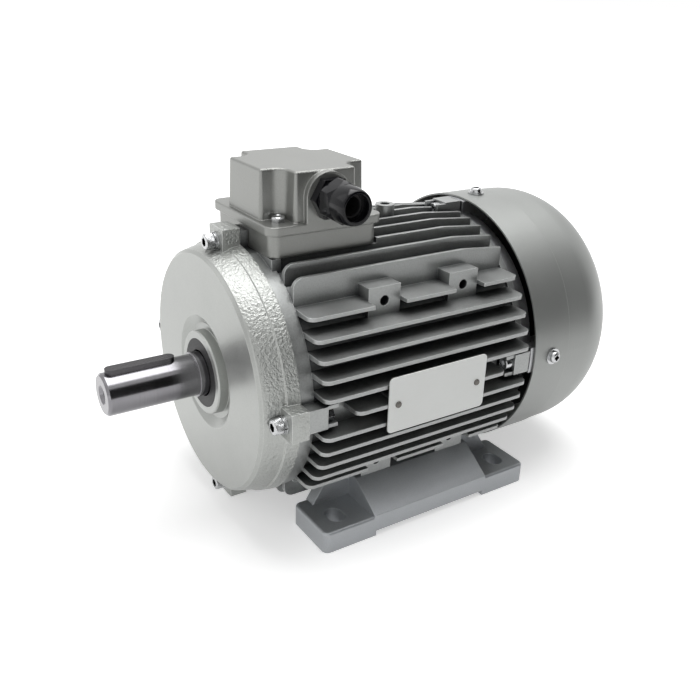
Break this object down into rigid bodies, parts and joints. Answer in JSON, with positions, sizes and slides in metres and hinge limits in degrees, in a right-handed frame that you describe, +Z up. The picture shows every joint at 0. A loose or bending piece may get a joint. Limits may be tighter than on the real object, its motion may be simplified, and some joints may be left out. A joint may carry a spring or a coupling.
{
  "type": "three-phase electric motor",
  "caption": "Foot-mounted totally enclosed fan-cooled three-phase cage motor with finned aluminium housing, top terminal box, cable gland, fan cowl and keyed shaft end.",
  "frame": {"origin": "on the floor plane, at the centre of the four foot bolt slots", "axes": "X across the motor with the gland side at +X, Y along the shaft with the drive end at -Y, Z up"},
  "size_m": [0.2041, 0.3748, 0.2365],
  "materials": {
    "painted_aluminium": "satin silver-grey paint",
    "polished_steel": "ground steel",
    "dark_steel": "oiled lamination steel",
    "zinc_steel": "zinc plated",
    "copper_winding": "varnished copper",
    "cast_aluminium": "bare cast",
    "plate_aluminium": "satin",
    "brass": "satin",
    "black_rubber": "matte",
    "black_nylon": "satin",
    "fan_plastic": "matte",
    "board_plastic": "moulded, brown",
    "cage_plastic": "natural"
  },
  "bodies": {
    "stator": {"stator_frame": "painted_aluminium", "drive_end_shield": "painted_aluminium", "fan_end_shield": "painted_aluminium", "fan_cowl": "painted_aluminium", "right_foot": "painted_aluminium", "left_foot": "painted_aluminium", "terminal_box_base": "painted_aluminium", "terminal_box_cover": "painted_aluminium", "cowl_screws": "zinc_steel", "cowl_washers": "zinc_steel", "front_shield_screws": "zinc_steel", "front_shield_washers": "zinc_steel", "front_shield_nuts": "zinc_steel", "rear_shield_screws": "zinc_steel", "foot_screws": "zinc_steel", "nameplate": "plate_aluminium", "nameplate_rivets": "cast_aluminium", "front_bearing_outer_ring": "polished_steel", "rear_bearing_outer_ring": "polished_steel", "wave_washer": "polished_steel", "front_shaft_seal": "black_rubber", "rear_shaft_seal": "black_rubber", "stator_core": "dark_steel", "stator_winding": "copper_winding", "box_base_gasket": "black_rubber", "box_cover_gasket": "black_rubber", "box_cover_screws": "zinc_steel", "box_base_screws": "zinc_steel", "terminal_board": "board_plastic", "board_screws": "zinc_steel", "earth_screw": "zinc_steel", "terminal_studs": "brass", "terminal_links": "brass", "terminal_nuts": "brass", "gland_body": "black_nylon", "gland_nut": "black_nylon", "gland_seal": "black_rubber", "gland_locknut": "black_nylon"},
    "rotor": {"shaft": "polished_steel", "shaft_key": "dark_steel", "rotor_core": "dark_steel", "rotor_cage": "cast_aluminium", "front_bearing_inner_ring": "polished_steel", "rear_bearing_inner_ring": "polished_steel", "cooling_fan": "fan_plastic", "fan_key": "dark_steel", "fan_clip": "dark_steel"},
    "front_ball_set": {"front_bearing_balls": "polished_steel", "front_bearing_cage": "cage_plastic"},
    "rear_ball_set": {"rear_bearing_balls": "polished_steel", "rear_bearing_cage": "cage_plastic"}
  },
  "joints": [
    {"name": "rotor_spin", "type": "hinge", "parent": "stator", "child": "rotor", "pos_m": [0, 0, 0.1], "axis": [0, 1, 0], "continuous": true},
    {"name": "front_ball_spin", "type": "hinge", "parent": "stator", "child": "front_ball_set", "pos_m": [0, 0, 0.1], "axis": [0, 1, 0], "continuous": true},
    {"name": "rear_ball_spin", "type": "hinge", "parent": "stator", "child": "rear_ball_set", "pos_m": [0, 0, 0.1], "axis": [0, 1, 0], "continuous": true}
  ],
  "couplings": [
    {"joint": "front_ball_spin", "follows": "rotor_spin", "ratio": 0.3967},
    {"joint": "rear_ball_spin", "follows": "rotor_spin", "ratio": 0.3967}
  ]
}
